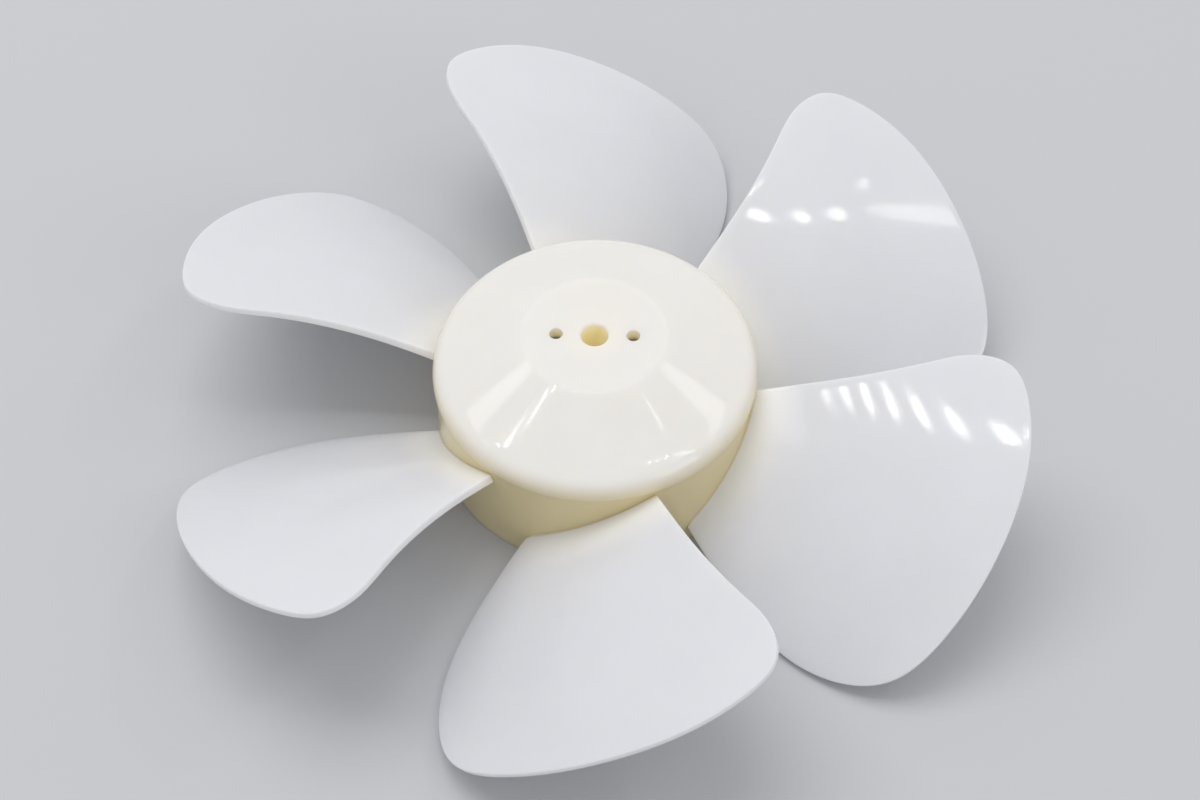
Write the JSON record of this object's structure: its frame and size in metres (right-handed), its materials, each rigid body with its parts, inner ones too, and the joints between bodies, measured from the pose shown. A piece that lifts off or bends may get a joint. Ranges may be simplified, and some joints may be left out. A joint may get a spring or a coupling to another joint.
{
  "type": "axial fan impeller",
  "caption": "Moulded axial fan impeller: a domed hub with a central shaft bore and small fixing holes, and broad swept, cambered blades.",
  "frame": {"origin": "on the impeller's axis, in the plane of the hub's rear rim on which it stands", "axes": "+Z along the impeller's axis towards the nose; the two fixing holes lie on X, and one blade points along +Y"},
  "size_m": [0.1912, 0.2, 0.0403],
  "materials": {
    "ivory_plastic": "injection-moulded, glossy, slightly translucent ivory"
  },
  "bodies": {
    "root": {"impeller": "ivory_plastic"}
  },
  "joints": []
}
